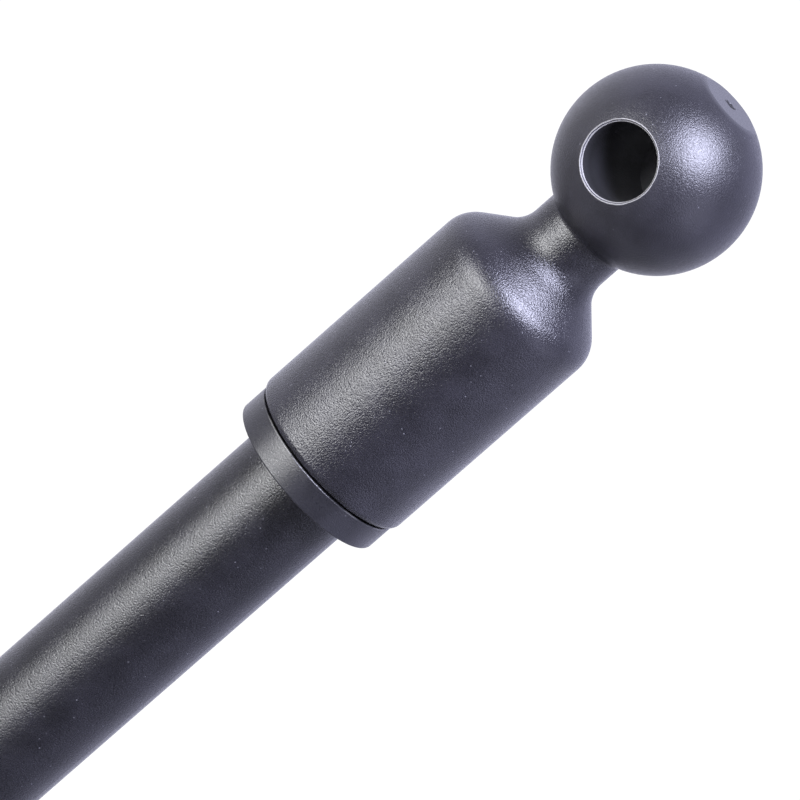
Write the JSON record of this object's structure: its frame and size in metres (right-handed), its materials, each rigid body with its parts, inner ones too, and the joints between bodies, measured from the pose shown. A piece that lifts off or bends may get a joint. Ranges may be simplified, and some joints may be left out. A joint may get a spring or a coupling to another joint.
{
  "type": "gas strut stay",
  "caption": "Gas strut stay with a black coated tube, a telescoping rod and a drilled ball on each end, for holding a window or shutter open.",
  "frame": {"origin": "centre of the tube end's ball, on the axis of its cross bore", "axes": "+Z along the strut from the rod end to the tube end, -Y out of the mouths of both blind cross bores"},
  "size_m": [0.0234, 0.0226, 0.3074],
  "materials": {
    "eye_coat": "fine-texture black powder coat",
    "collar_coat": "satin black powder coat",
    "tube_coat": "fine-texture black powder coat",
    "nut_coat": "black zinc",
    "plain_steel": "turned steel",
    "rod_chrome": "hard chrome, ground",
    "guide_alloy": "turned",
    "bearing_bronze": "plain",
    "seal_rubber": "smooth",
    "bumper_rubber": "smooth",
    "ring_plastic": "smooth"
  },
  "bodies": {
    "tube": {"tube_ball_eye": "eye_coat", "tube_end_collar": "collar_coat", "pressure_tube": "tube_coat", "base_plug": "plain_steel", "base_plug_o_ring": "seal_rubber", "guide_support_washer": "plain_steel", "rod_lip_seal": "seal_rubber", "rod_guide_bush": "guide_alloy", "guide_o_ring": "seal_rubber", "guide_bearing_liner": "bearing_bronze", "rod_wiper": "seal_rubber", "front_end_washer": "plain_steel"},
    "piston_ring": {"piston_ring": "ring_plastic"},
    "rod": {"piston_rod": "rod_chrome", "piston_nut": "plain_steel", "piston_end_washer": "plain_steel", "piston_body": "guide_alloy", "piston_back_washer": "plain_steel", "stop_bumper": "bumper_rubber", "rod_lock_nut": "nut_coat", "rod_spring_washer": "plain_steel", "rod_ball_eye": "eye_coat"}
  },
  "joints": [
    {"name": "rod_slide", "type": "slide", "parent": "tube", "child": "piston_ring", "axis": [0, 0, 1], "range_m": [0, 0.08], "stiffness_N_per_m": 150, "springref_m": -0.25},
    {"name": "rod_spin", "type": "hinge", "parent": "piston_ring", "child": "rod", "pos_m": [0, 0, 0], "axis": [0, 0, 1], "continuous": true}
  ]
}
